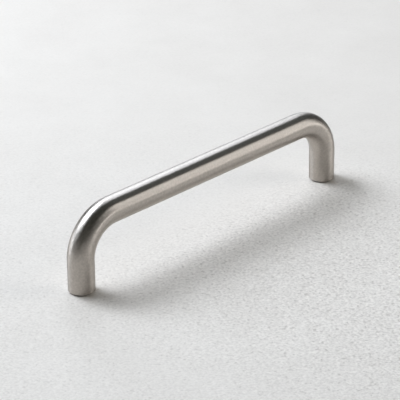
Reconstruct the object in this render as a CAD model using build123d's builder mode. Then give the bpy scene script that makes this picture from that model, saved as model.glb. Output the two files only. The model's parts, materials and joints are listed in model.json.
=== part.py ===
from build123d import *
import math
import os

# Bridge pull handle: one round stainless bar, bent twice, standing on its two faced ends.
#
# Frame, in millimetres: the origin is on the mounting plane, midway between the two holes.
# +X runs along the grip, +Z points from the mounting plane out to the grip, and the whole
# centreline lies in the XZ plane. It is a cabinet handle of the M4, 128 mm pitch size.

# ---- Driving dimensions ----------------------------------------------------------------

# The bent bar.
bar_diameter = 10.0
hole_centres = 128.0  # from the axis of one leg to the axis of the other
projection = 32.0  # from the mounting plane to the far side of the grip
bend_inner_radius = 10.0  # on the finger side of each bend
foot_edge_break = 0.5  # 45 degree chamfer round each faced end

# The blind tapped hole in each foot. Only the drilled form is cut here, at the tap drill's
# size, because the thread itself is a finish on that wall.
thread_diameter = 4.0
thread_pitch = 0.7
drilled_depth = 11.0  # full-diameter depth below the mounting plane
drill_point_angle = 118.0
mouth_diameter = 4.4  # of the countersink that leads the screw in
mouth_angle = 90.0

# ---- Sizes that follow -----------------------------------------------------------------

bar_radius = bar_diameter / 2
leg_offset = hole_centres / 2
centreline_height = projection - bar_radius
bend_radius = bend_inner_radius + bar_radius
tap_drill_radius = (thread_diameter - thread_pitch) / 2
drill_point_length = tap_drill_radius / math.tan(math.radians(drill_point_angle / 2))

os.makedirs("parts", exist_ok=True)

# ---- The bent bar ----------------------------------------------------------------------

with BuildPart() as handle_bar:
    # Up one leg, round a bend, along the grip, round the other bend and down again. The
    # bends are tangent to the straights, as a bar comes off a mandrel.
    with BuildLine(Plane.XZ) as centreline:
        FilletPolyline(
            (-leg_offset, 0),
            (-leg_offset, centreline_height),
            (leg_offset, centreline_height),
            (leg_offset, 0),
            radius=bend_radius,
        )

    # The round section starts square to the left leg, on the mounting plane.
    with BuildSketch(Plane(origin=(-leg_offset, 0, 0))):
        Circle(bar_radius)
    sweep(path=centreline.wire())

    # Both ends are faced flush with the mounting plane and their rims are broken.
    feet = handle_bar.faces().filter_by(Plane.XY).group_by(Axis.Z)[0]
    chamfer(feet.edges(), length=foot_edge_break)

    # Each foot is drilled, countersunk at its mouth and left with the drill's own point at
    # the bottom. A foot's plane has its normal pointing out of the metal.
    feet = handle_bar.faces().filter_by(Plane.XY).group_by(Axis.Z)[0].sort_by(Axis.X)
    foot_planes = [Plane(foot) for foot in feet]
    with Locations(*foot_planes):
        CounterSinkHole(
            radius=tap_drill_radius,
            counter_sink_radius=mouth_diameter / 2,
            depth=drilled_depth,
            counter_sink_angle=mouth_angle,
        )
    with Locations(*[plane.offset(-drilled_depth) for plane in foot_planes]):
        Cone(
            bottom_radius=0,
            top_radius=tap_drill_radius,
            height=drill_point_length,
            align=(Align.CENTER, Align.CENTER, Align.MAX),
            mode=Mode.SUBTRACT,
        )

handle_bar.part.label = "handle_bar"
export_step(handle_bar.part, "parts/handle_bar.step")
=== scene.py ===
"""Looks for a bridge pull handle: one satin stainless bar, bent twice, with a tapped hole up each foot.

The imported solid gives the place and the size. This script carries the same bar as a fine swept
surface, cuts the screw threads in its two holes, finishes each face as a maker would, and sets the
handle on a pale plaster slab among soft lights that stand for a room's windows and walls. Everything is
in metres.
"""

import json
import logging
import math
from dataclasses import dataclass, field
from enum import Enum

import bpy
import numpy as np
from mathutils import Matrix, Vector


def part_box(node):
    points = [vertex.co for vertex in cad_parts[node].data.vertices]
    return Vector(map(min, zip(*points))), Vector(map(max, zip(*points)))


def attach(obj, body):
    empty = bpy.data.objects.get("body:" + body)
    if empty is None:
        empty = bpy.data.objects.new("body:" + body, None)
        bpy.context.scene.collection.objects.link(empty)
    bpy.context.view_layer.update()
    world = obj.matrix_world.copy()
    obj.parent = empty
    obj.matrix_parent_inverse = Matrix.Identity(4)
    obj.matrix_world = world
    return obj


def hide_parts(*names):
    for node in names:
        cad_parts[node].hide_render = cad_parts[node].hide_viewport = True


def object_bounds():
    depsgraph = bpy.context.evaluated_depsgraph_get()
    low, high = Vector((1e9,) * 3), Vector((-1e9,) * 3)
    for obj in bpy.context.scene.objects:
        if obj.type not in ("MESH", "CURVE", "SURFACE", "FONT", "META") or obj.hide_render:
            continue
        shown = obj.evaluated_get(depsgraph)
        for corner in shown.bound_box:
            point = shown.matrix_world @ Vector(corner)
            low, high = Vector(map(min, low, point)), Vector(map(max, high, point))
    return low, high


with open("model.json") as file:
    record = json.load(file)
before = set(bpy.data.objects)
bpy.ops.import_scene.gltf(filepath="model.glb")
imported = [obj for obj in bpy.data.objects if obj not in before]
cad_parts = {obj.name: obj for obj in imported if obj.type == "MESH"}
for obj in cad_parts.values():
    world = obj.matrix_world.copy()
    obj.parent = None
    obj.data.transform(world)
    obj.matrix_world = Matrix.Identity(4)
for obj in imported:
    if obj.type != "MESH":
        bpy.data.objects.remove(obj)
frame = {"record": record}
cad_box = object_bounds()

logging.basicConfig(level=logging.INFO, format="%(message)s")
log = logging.getLogger("handle")

Colour = tuple[float, float, float]
Socket = bpy.types.NodeSocket

MM = 0.001
NODE = "handle_bar"
FINISHED = NODE + "_finished"
BODY = "root"
INNER_BEND = 10.0 * MM  # radius of the bends on the finger side
QUARTER_TURN = math.pi / 2
LAY = "straight_bar"  # where a point would lie on the same bar before it was bent
WRAP = "bar_wrap"  # a UV map: U runs down the profile from drill tip to drill tip, V goes once round
MIX_SHARE, MIX_DARK, MIX_LIGHT, MIX_RESULT = 0, 6, 7, 2  # the colour sockets of a Mix node


class Zone(Enum):
    """The finishes that the one bar carries, by the order of its material slots."""

    SATIN = 0
    FACED = 1
    TAPPED = 2


# ---- Node helpers ------------------------------------------------------------------------


@dataclass(frozen=True)
class Octaves:
    """The finer noise that a noise carries: how many octaves, and how strong each next one is."""

    detail: float
    roughness: float


class NodeTree:
    """A thin wrapper that adds, sets and links shader nodes in one call each."""

    def __init__(self, tree: bpy.types.NodeTree) -> None:
        """Takes over an empty tree.

        Args:
            tree: the node tree to fill.
        """
        self.tree = tree
        self.tree.nodes.clear()

    def add(self, kind: str, links: dict | None = None, **settings: object) -> bpy.types.Node:
        """Adds one node.

        Args:
            kind: the node's type without its "ShaderNode" prefix.
            links: input name or number to an output socket, or to a plain value.
            settings: attributes of the node, such as its operation.

        Returns:
            The new node.
        """
        node = self.tree.nodes.new("ShaderNode" + kind)
        for name, value in settings.items():
            setattr(node, name, value)
        for name, value in (links or {}).items():
            if isinstance(value, Socket):
                self.tree.links.new(value, node.inputs[name])
            else:
                node.inputs[name].default_value = value
        return node

    def scaled(self, vector: Socket, scale: tuple[float, float, float]) -> Socket:
        """Stretches a coordinate.

        Args:
            vector: the coordinate.
            scale: how many pattern units each metre holds, along each axis.

        Returns:
            The stretched coordinate.
        """
        node = self.add("VectorMath", {0: vector, 1: scale}, operation="MULTIPLY")
        return node.outputs["Vector"]

    def noise(self, vector: Socket, scale: tuple[float, float, float], octaves: Octaves) -> Socket:
        """Samples smooth noise.

        Args:
            vector: the coordinate.
            scale: how many of the noise's features each metre holds, along each axis.
            octaves: the finer noise that is added.

        Returns:
            The noise, about 0.5 on average.
        """
        links = {"Vector": self.scaled(vector, scale), "Scale": 1.0}
        links.update({"Detail": octaves.detail, "Roughness": octaves.roughness})
        return self.add("TexNoise", links).outputs["Fac"]

    def spread(self, value: Socket, low: float, high: float, to_low: float, to_high: float) -> Socket:
        """Maps a range of values to another, held at both ends.

        Args:
            value: the value.
            low: the value that becomes to_low.
            high: the value that becomes to_high.
            to_low: the result at low.
            to_high: the result at high.

        Returns:
            The mapped value.
        """
        links = {"Value": value, "From Min": low, "From Max": high, "To Min": to_low, "To Max": to_high}
        return self.add("MapRange", links).outputs["Result"]

    def unbent(self) -> Socket:
        """Where each point would lie on the same bar before it was bent."""
        return self.add("Attribute", attribute_name=LAY).outputs["Vector"]

    def lengthwise(self) -> Socket:
        """Direction of U on the bar's wrap, across the marks that go round it."""
        return self.add("Tangent", direction_type="UV_MAP", uv_map=WRAP).outputs["Tangent"]

    def bumped(self, height: Socket, strength: float, distance: float) -> Socket:
        """Tilts the normal by a height.

        Args:
            height: the height, from 0 to 1.
            strength: how much of the tilt is used.
            distance: what a height of 1 stands for, in metres.

        Returns:
            The tilted normal.
        """
        links = {"Height": height, "Strength": strength, "Distance": distance}
        return self.add("Bump", links).outputs["Normal"]

    def maths(self, operation: str, a: Socket | float, b: Socket | float) -> Socket:
        """Joins two values.

        Args:
            operation: the Math node's operation.
            a: the first socket or number.
            b: the second socket or number.

        Returns:
            The result.
        """
        return self.add("Math", {0: a, 1: b}, operation=operation).outputs["Value"]

    def tint(self, amount: Socket, dark: Colour, light: Colour) -> Socket:
        """Blends two colours.

        Args:
            amount: 0 for dark, 1 for light.
            dark: red, green and blue.
            light: red, green and blue.

        Returns:
            The blended colour.
        """
        links = {MIX_SHARE: amount, MIX_DARK: (*dark, 1.0), MIX_LIGHT: (*light, 1.0)}
        return self.add("Mix", links, data_type="RGBA").outputs[MIX_RESULT]


def new_material(name: str) -> tuple[bpy.types.Material, NodeTree]:
    """Makes a node material with an empty tree.

    Args:
        name: the material's name.

    Returns:
        The material and its tree.
    """
    material = bpy.data.materials.new(name)
    material.use_nodes = True
    return material, NodeTree(material.node_tree)


def shade(tree: NodeTree, colour: Socket, rough: Socket | float, normal: Socket, **more: object) -> None:
    """Ends a material in one Principled shader.

    Args:
        tree: the material's tree.
        colour: the base colour.
        rough: the roughness, as a socket or a number.
        normal: the bumped normal.
        more: other inputs by name, with underscores for spaces.
    """
    links = {"Base Color": colour, "Roughness": rough, "Normal": normal}
    links.update({name.replace("_", " "): value for name, value in more.items()})
    shader = tree.add("BsdfPrincipled", links)
    tree.add("OutputMaterial", {"Surface": shader.outputs["BSDF"]})


# ---- Finishes ----------------------------------------------------------------------------


@dataclass(frozen=True)
class SatinSteel:
    """Stainless bar after a fine belt: short hairlines round the bar, a fine grain and a slow mottle."""

    dark: Colour = (0.450, 0.412, 0.372)
    light: Colour = (0.555, 0.507, 0.460)
    roughness: float = 0.33
    roughness_swing: float = 0.05
    anisotropy: float = 0.85
    edge_tint: Colour = (0.70, 0.70, 0.70)
    hairlines_per_m: float = 7500.0
    hairline_length: float = 2.5 * MM
    hairline_octaves: Octaves = Octaves(2.0, 0.6)
    grain_size: float = 0.75 * MM
    grain_octaves: Octaves = Octaves(1.0, 0.5)
    mottle_size: float = 5.0 * MM
    mottle_octaves: Octaves = Octaves(3.0, 0.55)
    grain_share: float = 0.62
    hairline_share: float = 0.20
    mottle_share: float = 0.18
    noise_span: tuple[float, float] = (0.35, 0.65)
    bump_height: float = 0.002 * MM
    bump_strength: float = 0.1

    def make(self) -> bpy.types.Material:
        """Builds the material.

        The tone is the sum of the grain, the hairlines and the mottle by their shares, and the roughness
        follows the mean of the first two.

        Returns:
            The material, which reads the bar's unbent coordinates.
        """
        material, tree = new_material("satin_stainless")
        lay = tree.unbent()
        lengths_per_m = 1.0 / self.hairline_length
        fine_one_way = (lengths_per_m, lengths_per_m, self.hairlines_per_m)
        lines = tree.noise(lay, fine_one_way, self.hairline_octaves)
        grain = tree.noise(lay, (1.0 / self.grain_size,) * 3, self.grain_octaves)
        mottle = tree.noise(lay, (1.0 / self.mottle_size,) * 3, self.mottle_octaves)
        fine = tree.maths("MULTIPLY", grain, self.grain_share)
        drawn = tree.maths("MULTIPLY", lines, self.hairline_share)
        slow = tree.maths("MULTIPLY", mottle, self.mottle_share)
        tone = tree.maths("ADD", tree.maths("ADD", fine, drawn), slow)
        colour = tree.tint(tree.spread(tone, *self.noise_span, 0.0, 1.0), self.dark, self.light)
        low, high = self.roughness - self.roughness_swing, self.roughness + self.roughness_swing
        mean = tree.maths("MULTIPLY", tree.maths("ADD", grain, lines), 0.5)
        rough = tree.spread(mean, *self.noise_span, low, high)
        normal = tree.bumped(lines, self.bump_strength, self.bump_height)
        shade(
            tree,
            colour,
            rough,
            normal,
            Metallic=1.0,
            Anisotropic=self.anisotropy,
            Tangent=tree.lengthwise(),
            Specular_Tint=(*self.edge_tint, 1.0),
        )
        return material


@dataclass(frozen=True)
class FacedSteel:
    """A sawn end after facing: fine rings about the leg's axis, a little darker than the satin."""

    dark: Colour = (0.36, 0.345, 0.325)
    light: Colour = (0.50, 0.485, 0.46)
    roughness: float = 0.34
    roughness_swing: float = 0.06
    anisotropy: float = 0.8
    rings_per_m: float = 9000.0
    ring_octaves: Octaves = Octaves(2.0, 0.6)
    noise_span: tuple[float, float] = (0.35, 0.65)
    bump_height: float = 0.01 * MM
    bump_strength: float = 0.5

    def make(self) -> bpy.types.Material:
        """Builds the material.

        Returns:
            The material, whose pattern depends only on the distance from the leg's axis.
        """
        material, tree = new_material("faced_stainless")
        flat = tree.scaled(tree.unbent(), (1.0, 1.0, 0.0))
        radius = tree.add("VectorMath", {0: flat}, operation="LENGTH").outputs["Value"]
        out = tree.add("CombineXYZ", {"X": radius}).outputs["Vector"]
        marks = tree.noise(out, (self.rings_per_m,) * 3, self.ring_octaves)
        colour = tree.tint(tree.spread(marks, *self.noise_span, 0.0, 1.0), self.dark, self.light)
        low, high = self.roughness - self.roughness_swing, self.roughness + self.roughness_swing
        rough = tree.spread(marks, *self.noise_span, low, high)
        normal = tree.bumped(marks, self.bump_strength, self.bump_height)
        along = tree.lengthwise()
        shade(tree, colour, rough, normal, Metallic=1.0, Anisotropic=self.anisotropy, Tangent=along)
        return material


@dataclass(frozen=True)
class TappedSteel:
    """The cut wall of a tapped hole: bright flanks with fine chatter marks along the thread."""

    dark: Colour = (0.40, 0.385, 0.365)
    light: Colour = (0.58, 0.565, 0.54)
    roughness: float = 0.26
    roughness_swing: float = 0.06
    chatter_per_m: float = 5000.0
    chatter_octaves: Octaves = Octaves(2.0, 0.5)
    noise_span: tuple[float, float] = (0.3, 0.7)
    bump_height: float = 0.004 * MM
    bump_strength: float = 0.2

    def make(self) -> bpy.types.Material:
        """Builds the material.

        Returns:
            The material, which reads the bar's unbent coordinates.
        """
        material, tree = new_material("tapped_stainless")
        chatter = tree.noise(tree.unbent(), (self.chatter_per_m,) * 3, self.chatter_octaves)
        colour = tree.tint(tree.spread(chatter, *self.noise_span, 0.0, 1.0), self.dark, self.light)
        low, high = self.roughness - self.roughness_swing, self.roughness + self.roughness_swing
        rough = tree.spread(chatter, *self.noise_span, low, high)
        normal = tree.bumped(chatter, self.bump_strength, self.bump_height)
        shade(tree, colour, rough, normal, Metallic=1.0)
        return material


@dataclass(frozen=True)
class PalePlaster:
    """A pale mineral slab: sandy grain with small pits, which a trowel has closed towards one corner.

    grain, pits and cloud are how far each moves the tone, and the lean field is painted shade: how far
    the tone moves for each metre towards the far right corner, where the light falls off. troweled gives
    two places on the way there, with the strength of grain and pits at each. Each edge of the rough patch
    is a ramp, from the first place to the second.
    The noises' tilt is in radians.
    """

    dark: Colour = (0.650, 0.592, 0.530)
    light: Colour = (0.970, 0.910, 0.838)
    tone: float = 0.58
    grain_size: float = 0.95 * MM
    grain_octaves: Octaves = Octaves(1.0, 0.5)
    grain: float = 1.5
    pit_size: float = 1.3 * MM
    pit_octaves: Octaves = Octaves(0.0, 0.5)
    pit_span: tuple[float, float] = (0.66, 0.78)
    pits: float = 0.45
    cloud_size: float = 30.0 * MM
    cloud_octaves: Octaves = Octaves(4.0, 0.62)
    cloud: float = 0.30
    # painted shade: the tone darkens evenly towards the far right corner, where the light falls off
    painted_shade_lean: float = -0.6
    troweled: tuple[float, float, float, float] = (-60.0 * MM, 110.0 * MM, 0.54, 0.11)
    patch_left: tuple[float, float] = (-85.0 * MM, -15.0 * MM)
    patch_right: tuple[float, float] = (95.0 * MM, 55.0 * MM)
    patch_back: tuple[float, float] = (12.0 * MM, -10.0 * MM)
    patch: float = 0.68
    tilt_axis: tuple[float, float, float] = (0.6, 0.48, 0.64)
    tilt: float = 0.7
    roughness: float = 0.75
    specular: float = 0.2
    bump_height: float = 0.05 * MM
    bump_strength: float = 0.3

    def make(self) -> bpy.types.Material:
        """Builds the material.

        The tone is a middle value, plus grain and cloud that swing both ways and less the pits, and it
        darkens evenly towards the far right corner: painted shade for the light falling off that way.
        Grain and pits fade that way too. In one patch, whose three edges are ramps multiplied together,
        they are stronger. The noises are read in tilted coordinates, so that their own lattice doesn't
        line up with the slab.

        Returns:
            The material, which reads Object coordinates.
        """
        material, tree = new_material("pale_plaster")
        place = tree.add("TexCoord").outputs["Object"]
        axes = tree.add("SeparateXYZ", {"Vector": place})
        across, deep = axes.outputs["X"], axes.outputs["Y"]
        corner = tree.maths("MULTIPLY", tree.maths("ADD", across, deep), math.sqrt(0.5))
        ramps = [tree.spread(across, *self.patch_left, 0.0, 1.0)]
        ramps.append(tree.spread(across, *reversed(self.patch_right), 1.0, 0.0))
        ramps.append(tree.spread(deep, *reversed(self.patch_back), 1.0, 0.0))
        patch = tree.maths("MULTIPLY", tree.maths("MULTIPLY", ramps[0], ramps[1]), ramps[2])
        rough_patch = tree.maths("MULTIPLY", patch, self.patch)
        fade = tree.maths("ADD", tree.spread(corner, *self.troweled), rough_patch)
        turn = {"Vector": place, "Axis": self.tilt_axis, "Angle": self.tilt}
        tilted = tree.add("VectorRotate", turn, rotation_type="AXIS_ANGLE").outputs["Vector"]
        sand = tree.noise(tilted, (1.0 / self.grain_size,) * 3, self.grain_octaves)
        holes = tree.noise(tilted, (1.0 / self.pit_size,) * 3, self.pit_octaves)
        slow = tree.noise(tilted, (1.0 / self.cloud_size,) * 3, self.cloud_octaves)
        pit = tree.spread(holes, *self.pit_span, 0.0, self.pits)
        swing = tree.maths("MULTIPLY", tree.maths("SUBTRACT", sand, 0.5), self.grain)
        marks = tree.maths("MULTIPLY", tree.maths("SUBTRACT", swing, pit), fade)
        cloud = tree.maths("MULTIPLY", tree.maths("SUBTRACT", slow, 0.5), self.cloud)
        # painted shade: an even darkening towards the far right corner, added to the random cloud
        cloud_and_painted_shade = tree.maths("ADD", cloud, tree.maths("MULTIPLY", corner, self.painted_shade_lean))
        tone = tree.maths("ADD", tree.maths("ADD", marks, cloud_and_painted_shade), self.tone)
        colour = tree.tint(tone, self.dark, self.light)
        normal = tree.bumped(marks, self.bump_strength, self.bump_height)
        shade(tree, colour, self.roughness, normal, Specular_IOR_Level=self.specular)
        return material


# ---- The handle --------------------------------------------------------------------------


@dataclass(frozen=True)
class BarPath:
    """The bar's centreline in the XZ plane: leg, bend, grip, bend, leg, each tangent to the next."""

    half_pitch: float
    height: float
    bend_radius: float

    @property
    def leg(self) -> float:
        """Length of one straight leg."""
        return self.height - self.bend_radius

    @property
    def bend(self) -> float:
        """Length of one quarter-circle bend."""
        return self.bend_radius * QUARTER_TURN

    @property
    def grip(self) -> float:
        """Length of the straight grip."""
        return 2 * (self.half_pitch - self.bend_radius)

    @property
    def length(self) -> float:
        """Length of the whole centreline."""
        return 2 * self.leg + 2 * self.bend + self.grip

    def at(self, s: np.ndarray) -> tuple[np.ndarray, np.ndarray]:
        """Finds the centreline and its outward normal.

        Each bend's turned angle is the distance past its start over the bend radius, held between
        nothing and a quarter turn. The place is the sum of what each straight and each arc adds up to
        there. The normal is the tangent turned a quarter turn in the plane, away from the finger side.

        Args:
            s: distances from the left foot.

        Returns:
            The centres and the outward unit normals, one row each.
        """
        second = self.leg + self.bend + self.grip
        a = np.clip((s - self.leg) / self.bend_radius, 0, QUARTER_TURN)
        b = np.clip((s - second) / self.bend_radius, 0, QUARTER_TURN)
        along = np.clip(s - self.leg - self.bend, 0, self.grip)
        last = np.maximum(s - second - self.bend, 0)
        x = -self.half_pitch + self.bend_radius * (1 - np.cos(a)) + along + self.bend_radius * np.sin(b)
        z = np.minimum(s, self.leg) + self.bend_radius * (np.sin(a) - 1 + np.cos(b)) - last
        slope = QUARTER_TURN - a - b
        zero = np.zeros_like(s)
        centres = np.stack([x, zero, z], 1)
        normals = np.stack([-np.sin(slope), zero, np.cos(slope)], 1)
        return centres, normals


@dataclass(frozen=True)
class TappedHole:
    """A blind hole: countersunk mouth, M4 coarse thread with a tap's run-out, and a drill's point.

    Angles are in degrees, and the point's is the whole cone's.
    """

    drill_radius: float
    thread_radius: float = 2.0 * MM
    pitch: float = 0.7 * MM
    root_flat: float = 1 / 8  # of the pitch
    flank_angle: float = 30.0
    depth: float = 11.0 * MM
    point_angle: float = 118.0
    mouth_radius: float = 2.2 * MM
    thread_depth: float = 9.0 * MM
    run_out: float = 1.4 * MM
    rows_per_pitch: int = 16

    @property
    def mouth_depth(self) -> float:
        """Depth of the 45 degree countersink."""
        return self.mouth_radius - self.drill_radius

    @property
    def point_length(self) -> float:
        """Length of the drill's point."""
        return self.drill_radius / math.tan(math.radians(self.point_angle / 2))

    def groove(self, depth: np.ndarray, turn: np.ndarray, hand: int) -> np.ndarray:
        """Finds the radius that the tap cut to.

        The groove's middle climbs one pitch a turn. Away from it the radius falls along a 30 degree
        flank from the flat root, which is an eighth of the pitch wide, to the drilled wall. Past the
        thread's full depth the root comes in evenly and is gone after the run-out.

        Args:
            depth: depths below the foot, one for each row.
            turn: angles about the axis, one for each column.
            hand: 1 or -1, the sense in which angle and depth grow together.

        Returns:
            The radius at each row and column.
        """
        climb = depth[:, None] + hand * self.pitch * turn[None, :] / (2 * math.pi)
        off = np.abs((climb / self.pitch) % 1.0 - 0.5) * self.pitch
        fade = np.clip((depth - self.thread_depth) / self.run_out, 0, 1)[:, None]
        root = self.thread_radius - (self.thread_radius - self.drill_radius) * fade
        past_root = np.maximum(off - self.root_flat / 2 * self.pitch, 0)
        flank = past_root / math.tan(math.radians(self.flank_angle))
        return np.maximum(root - flank, self.drill_radius)


@dataclass
class BentHandle:
    """The one-piece bar, as rings of points from one drill tip, out and round the bar, to the other."""

    path: BarPath
    radius: float
    hole: TappedHole
    edge_break: float = 0.5 * MM
    edge_ease: float = 0.06 * MM
    columns: int = 120
    grip_rows: int = 60
    bend_rows: int = 56
    leg_rows: int = 12
    ease_rows: int = 5
    cone_rows: int = 5
    piece: bpy.types.Object | None = field(default=None, init=False)

    def eased(self, corners: np.ndarray) -> np.ndarray:
        """Rounds the corners of a profile.

        Each corner becomes a parabola that leaves one side and meets the other at the same short
        distance from the corner. Its points are the two ends and the corner, weighted by the squares and
        twice the product of the way still to go and the way gone.

        Args:
            corners: the profile's points, depth and radius, with the ends kept as they are.

        Returns:
            The rounded profile's points.
        """
        before, here, after = corners[:-2], corners[1:-1], corners[2:]
        back, on = before - here, after - here
        start = here + back / np.linalg.norm(back, axis=1)[:, None] * self.edge_ease
        end = here + on / np.linalg.norm(on, axis=1)[:, None] * self.edge_ease
        t = np.linspace(0, 1, self.ease_rows)[None, :, None]
        arcs = (1 - t) ** 2 * start[:, None] + 2 * t * (1 - t) * here[:, None] + t**2 * end[:, None]
        return np.vstack([corners[:1], arcs.reshape(-1, 2), corners[-1:]])

    def end_profile(self) -> tuple[np.ndarray, np.ndarray]:
        """Lays out one end of the bar, from the drill's tip to the start of the plain leg.

        The drill's cone and the countersink are straight lines between depth and radius, and the wall
        between them has enough rings to carry the thread. The foot's edges are eased.

        Returns:
            The rings' depths and radii, one row each, and the zone of the band after each ring.
        """
        hole, r = self.hole, self.radius
        down_cone = np.linspace(0.1, 0.9, self.cone_rows)[:, None]
        tip = np.array([hole.depth + hole.point_length, 0.0])
        cone = tip + (np.array([hole.depth, hole.drill_radius]) - tip) * down_cone
        turns = (hole.depth - hole.mouth_depth) / hole.pitch
        wall = np.linspace(hole.depth, hole.mouth_depth, int(turns * hole.rows_per_pitch))
        wall_rows = np.stack([wall, np.full_like(wall, hole.drill_radius)], 1)
        sink = np.linspace(hole.mouth_depth, 0.0, hole.rows_per_pitch)[1:-1]
        sink_rows = np.stack([sink, hole.mouth_radius - sink], 1)
        clear_of_ease = sink_rows[:, 0] > 1.5 * self.edge_ease
        sink_rows = sink_rows[clear_of_ease]
        flat_outer = r - self.edge_break
        corners = np.array(
            [
                sink_rows[-1],
                [0.0, hole.mouth_radius],
                [0.0, flat_outer],
                [self.edge_break, r],
                [self.edge_break + 4 * self.edge_ease, r],
            ]
        )
        face_rows = self.eased(corners)[1:]
        inside = np.vstack([cone, wall_rows, sink_rows])
        rings = np.vstack([inside, face_rows])
        face_start = len(inside) + self.ease_rows // 2
        face_end = len(rings) - 1 - self.ease_rows // 2
        zones = np.full(len(rings), Zone.SATIN.value)
        zones[:face_start] = Zone.TAPPED.value
        zones[face_start:face_end] = Zone.FACED.value
        return rings, zones

    def rings(self) -> tuple[np.ndarray, np.ndarray, np.ndarray]:
        """Lays out every ring of the surface.

        Both ends are one profile, there and back, and the straights and bends between them are evenly
        divided. Down each drilled wall the radius is the thread's wherever that is the larger.

        Returns:
            Each ring's distance along the path, its radius at every column, and the zone of the band
            after it.
        """
        path, turn = self.path, self.turns()
        end, end_zones = self.end_profile()
        first = end[-1, 0]
        stops = np.cumsum([path.leg, path.bend, path.grip, path.bend])
        marks = [first, *stops, path.length - first]
        counts = [self.leg_rows, self.bend_rows, self.grip_rows, self.bend_rows, self.leg_rows]
        spans = [np.linspace(a, b, n, endpoint=False) for a, b, n in zip(marks, marks[1:], counts)]
        middle = np.concatenate(spans)[1:]
        along = np.concatenate([end[:, 0], middle, path.length - end[::-1, 0]])
        bare = np.concatenate([end[:, 1], np.full_like(middle, self.radius), end[::-1, 1]])
        radii = np.repeat(bare[:, None], self.columns, 1)
        cut = (end[:, 0] <= self.hole.depth) & (end[:, 1] < self.hole.mouth_radius)
        left, right = np.flatnonzero(cut), len(along) - 1 - np.flatnonzero(cut)
        radii[left] = np.maximum(radii[left], self.hole.groove(end[cut, 0], turn, 1))
        radii[right] = np.maximum(radii[right], self.hole.groove(end[cut, 0], turn, -1))
        zones = np.full(len(along) - 1, Zone.SATIN.value)
        zones[: len(end_zones)] = end_zones
        zones[len(zones) - len(end_zones) + 1 :] = end_zones[-2::-1]
        return along, radii, zones

    def turns(self) -> np.ndarray:
        """Angles of the columns about the centreline, from the outward normal."""
        return np.arange(self.columns) * (2 * math.pi / self.columns)

    def wrap(self, along: np.ndarray, radii: np.ndarray) -> np.ndarray:
        """Lays out the wrap, corner by corner, in the order of the faces.

        U is the length of the profile's line so far, from one drill tip to the other, as a share of the
        whole. V is the turn as a share of a full one, and reaches 1 on the last column's far edge.

        Args:
            along: each ring's distance along the path.
            radii: each ring's radius at every column.

        Returns:
            U and V of every face corner, one row each.
        """
        reach = self.hole.depth + self.hole.point_length
        line_s = np.concatenate([[reach], along, [self.path.length - reach]])
        line_r = np.concatenate([[0.0], radii.min(1), [0.0]])
        steps = np.hypot(np.diff(line_s), np.diff(line_r))
        u = np.concatenate([[0.0], np.cumsum(steps)]) / steps.sum()
        v = np.arange(self.columns + 1) / self.columns
        near, far = np.meshgrid(u[1:-2], v[:-1], indexing="ij")
        ahead, turned = np.meshgrid(u[2:-1], v[1:], indexing="ij")
        quads = np.stack([near, far, ahead, far, ahead, turned, near, turned], -1).reshape(-1, 2)
        middle = (v[:-1] + v[1:]) / 2
        fans = []
        for tip, rim, start, end in ((u[0], u[1], v[:-1], v[1:]), (u[-1], u[-2], v[1:], v[:-1])):
            tips, rims = np.full_like(middle, tip), np.full_like(middle, rim)
            fans.append(np.stack([tips, middle, rims, start, rims, end], -1).reshape(-1, 2))
        return np.vstack([quads, *fans])

    def build(self) -> bpy.types.Object:
        """Makes the mesh.

        A ring's point is the centreline's point plus its radius times the cosine of the turn along the
        outward normal and the sine of it along +Y. Neighbouring rings are joined by four-sided faces, and
        the last ring at each drill tip by a fan of triangles.

        Returns:
            The piece, at the origin, with its place in its mesh.
        """
        along, radii, zones = self.rings()
        turn = self.turns()
        centres, normals = self.path.at(along)
        out, side = radii * np.cos(turn), radii * np.sin(turn)
        sideways = np.array([0, 1, 0])
        grid = centres[:, None] + out[..., None] * normals[:, None] + side[..., None] * sideways
        straight = np.stack([out, side, np.repeat(along[:, None], self.columns, 1)], 2)

        reach = self.hole.depth + self.hole.point_length
        tips_along = np.array([reach, self.path.length - reach])
        tips = self.path.at(tips_along)[0]
        tips_straight = np.stack([np.zeros(2), np.zeros(2), tips_along], 1)
        points = np.vstack([grid.reshape(-1, 3), tips])
        lay = np.vstack([straight.reshape(-1, 3), tips_straight])

        rows, columns = radii.shape
        number = np.arange(rows * columns).reshape(rows, columns)
        ahead = np.roll(number, -1, axis=1)
        quads = np.stack([number[:-1], number[1:], ahead[1:], ahead[:-1]], -1).reshape(-1, 4)
        left_tip, right_tip = rows * columns, rows * columns + 1
        left_fan = np.stack([np.full(columns, left_tip), number[0], ahead[0]], -1)
        right_fan = np.stack([np.full(columns, right_tip), ahead[-1], number[-1]], -1)
        faces = quads.tolist() + left_fan.tolist() + right_fan.tolist()
        slots = np.concatenate([np.repeat(zones, columns), np.full(2 * columns, Zone.TAPPED.value)])

        mesh = bpy.data.meshes.new(FINISHED)
        mesh.from_pydata(points.tolist(), [], faces)
        mesh.polygons.foreach_set("material_index", slots.astype(np.int32))
        mesh.polygons.foreach_set("use_smooth", np.ones(len(faces), bool))
        mesh.attributes.new(LAY, "FLOAT_VECTOR", "POINT").data.foreach_set("vector", lay.ravel())
        mesh.uv_layers.new(name=WRAP).data.foreach_set("uv", self.wrap(along, radii).ravel())
        mesh.validate()
        mesh.update()
        self.piece = bpy.data.objects.new(FINISHED, mesh)
        bpy.context.scene.collection.objects.link(self.piece)
        return self.piece

    def dress(self) -> None:
        """Gives each zone its finish, and sets the piece in the frame in place of the plain solid."""
        for material in (SatinSteel().make(), FacedSteel().make(), TappedSteel().make()):
            self.piece.data.materials.append(material)
        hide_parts(NODE)
        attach(self.piece, BODY)


# ---- The studio --------------------------------------------------------------------------

DAY: Colour = (0.91, 0.99, 1.10)  # a little bluer than the lamps that stand for walls


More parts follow.
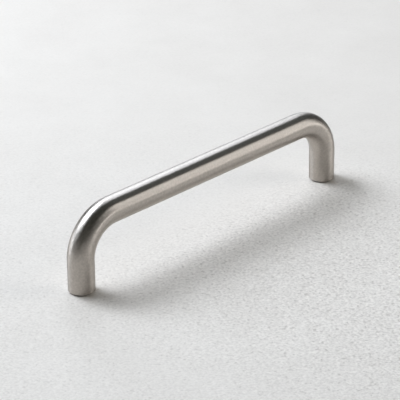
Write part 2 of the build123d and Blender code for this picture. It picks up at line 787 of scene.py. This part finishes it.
@dataclass(frozen=True)
class SoftLight:
    """A rectangular light.

    place is its middle from the handle's own, in metres, facing is the direction that it shines in, its
    width is level, and radiance is how bright its surface is, where 1 is white.
    """

    name: str
    place: tuple[float, float, float]
    facing: tuple[float, float, float]
    size: tuple[float, float]
    radiance: float
    colour: Colour = (1.0, 1.0, 1.0)

    def make(self, centre: Vector) -> None:
        """Places the light.

        A rectangle that sends out P watts has a radiance of P over pi times its area.

        Args:
            centre: the handle's middle.
        """
        data = bpy.data.lights.new(self.name, "AREA")
        data.shape = "RECTANGLE"
        data.size, data.size_y = self.size
        data.color = self.colour
        data.energy = self.radiance * math.pi * self.size[0] * self.size[1]
        light = bpy.data.objects.new(self.name, data)
        light.location = centre + Vector(self.place)
        light.rotation_euler = Vector(self.facing).to_track_quat("-Z", "Y").to_euler()
        light.visible_camera = False
        bpy.context.scene.collection.objects.link(light)


@dataclass
class Studio:
    """The slab that the handle stands on, the lights and the dim room round them."""

    centre: Vector
    floor_half: float = 0.75
    floor_gap: float = 0.02 * MM
    room: Colour = (0.042, 0.045, 0.039)
    lights: tuple[SoftLight, ...] = (
        SoftLight("window", (-0.039, 0.703, 0.815), (0.0, -0.646, -0.763), (0.4, 0.45), 9.3, DAY),
        SoftLight("blind", (-0.345, 0.699, 0.774), (0.0, -0.663, -0.749), (0.69, 0.92), 3.85, DAY),
        SoftLight("side_window", (0.697, 0.761, 0.637), (0.0, -0.759, -0.651), (0.45, 1.38), 2.88, DAY),
        SoftLight("sill", (-0.72, 1.096, 0.056), (0.0, -0.998, -0.065), (1.05, 0.16), 4.2, DAY),
        SoftLight("ceiling", (0.954, -0.094, 1.056), (0.0, 0.087, -0.996), (1.03, 0.66), 0.14, DAY),
        SoftLight("side_wall", (0.744, -0.744, 0.48), (-0.64, 0.64, -0.427), (0.45, 0.86), 2.36),
        SoftLight("wall_glow", (0.749, -0.749, 0.439), (-0.65, 0.65, -0.395), (1.22, 0.97), 0.1),
        SoftLight("low_wall", (0.817, -0.878, 0.028), (-0.681, 0.731, -0.037), (1.27, 0.07), 3.4),
    )

    def build_floor(self) -> bpy.types.Object:
        """Makes the slab's top, a hair under the feet so that the two don't share a plane.

        Returns:
            The floor.
        """
        half, top = self.floor_half, -self.floor_gap
        corners = [(-half, -half, top), (half, -half, top), (half, half, top), (-half, half, top)]
        mesh = bpy.data.meshes.new("slab")
        mesh.from_pydata(corners, [], [(0, 1, 2, 3)])
        mesh.materials.append(PalePlaster().make())
        floor = bpy.data.objects.new("slab", mesh)
        bpy.context.scene.collection.objects.link(floor)
        return floor

    def light_room(self) -> None:
        """Sets the room's own dim light, and places the lamps."""
        world = bpy.data.worlds.new("dim_room")
        world.use_nodes = True
        tree = NodeTree(world.node_tree)
        back = tree.add("Background", {"Color": (*self.room, 1.0), "Strength": 1.0})
        tree.add("OutputWorld", {"Surface": back.outputs["Background"]})
        bpy.context.scene.world = world
        for light in self.lights:
            light.make(self.centre)


@dataclass(frozen=True)
class ViewCamera:
    """A long lens that looks down along the handle from the left front.

    Angles are in degrees, the lens and the sensor in millimetres, and lengths in metres. The azimuth is
    counted from straight in front.
    """

    azimuth: float = -44.709
    elevation: float = 26.626
    roll: float = 0.626
    distance: float = 0.83379
    lens: float = 200.714
    sensor: float = 36.0
    clip: tuple[float, float] = (0.01, 50.0)
    aim: tuple[float, float, float] = (-3.70 * MM, 0.0, 14.45 * MM)

    def make(self) -> bpy.types.Object:
        """Places the camera and makes it the scene's own.

        The camera stands at its distance from the aim, back along the line of sight. Its right side is
        level before the roll, which then turns right and down together.

        Returns:
            The camera.
        """
        azimuth, rise, roll = (math.radians(v) for v in (self.azimuth, self.elevation, self.roll))
        flat = math.cos(rise)
        back = Vector((math.sin(azimuth) * flat, -math.cos(azimuth) * flat, math.sin(rise)))
        level = (-back).cross(Vector((0, 0, 1))).normalized()
        down = (-back).cross(level)
        right = level * math.cos(roll) + down * math.sin(roll)
        up = level * math.sin(roll) - down * math.cos(roll)
        data = bpy.data.cameras.new("view")
        data.lens, data.sensor_width = self.lens, self.sensor
        data.clip_start, data.clip_end = self.clip
        camera = bpy.data.objects.new("view", data)
        turn = Matrix((right, up, back)).transposed().to_4x4()
        camera.matrix_world = Matrix.Translation(Vector(self.aim) + back * self.distance) @ turn
        bpy.context.scene.collection.objects.link(camera)
        bpy.context.scene.camera = camera
        return camera


# ---- Making it ---------------------------------------------------------------------------


def mount(name: str) -> dict:
    """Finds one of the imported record's mounts.

    Args:
        name: the mount's name.

    Returns:
        Its row in the record.
    """
    return next(row for row in frame["record"]["mounts"] if row["name"] == name)


def make_handle() -> None:
    """Sizes the handle from the frame, then builds, dresses and reports it."""
    low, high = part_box(NODE)
    half_pitch = mount("mounting_holes")["dims"]["spacing_x_mm"] * MM / 2
    radius = high.x - half_pitch
    handle = BentHandle(
        path=BarPath(half_pitch, high.z - low.z - radius, INNER_BEND + radius),
        radius=radius,
        hole=TappedHole(drill_radius=mount("left_tapped_hole")["dims"]["r_mm"] * MM),
    )
    piece = handle.build()
    handle.dress()
    faces, length = len(piece.data.polygons), handle.path.length / MM
    log.info("%s: %d faces, centreline %.1f mm", piece.name, faces, length)


def main() -> None:
    """Builds the camera, the studio and the handle, and reports each."""
    bpy.context.scene.view_settings.view_transform = "Standard"
    camera = ViewCamera().make()
    log.info("%s: lens %.1f mm", camera.name, camera.data.lens)
    low, high = cad_box
    studio = Studio(centre=(low + high) / 2)
    floor = studio.build_floor()
    studio.light_room()
    log.info("%s and %d lights", floor.name, len(studio.lights))
    make_handle()


if __name__ == "__main__":
    main()
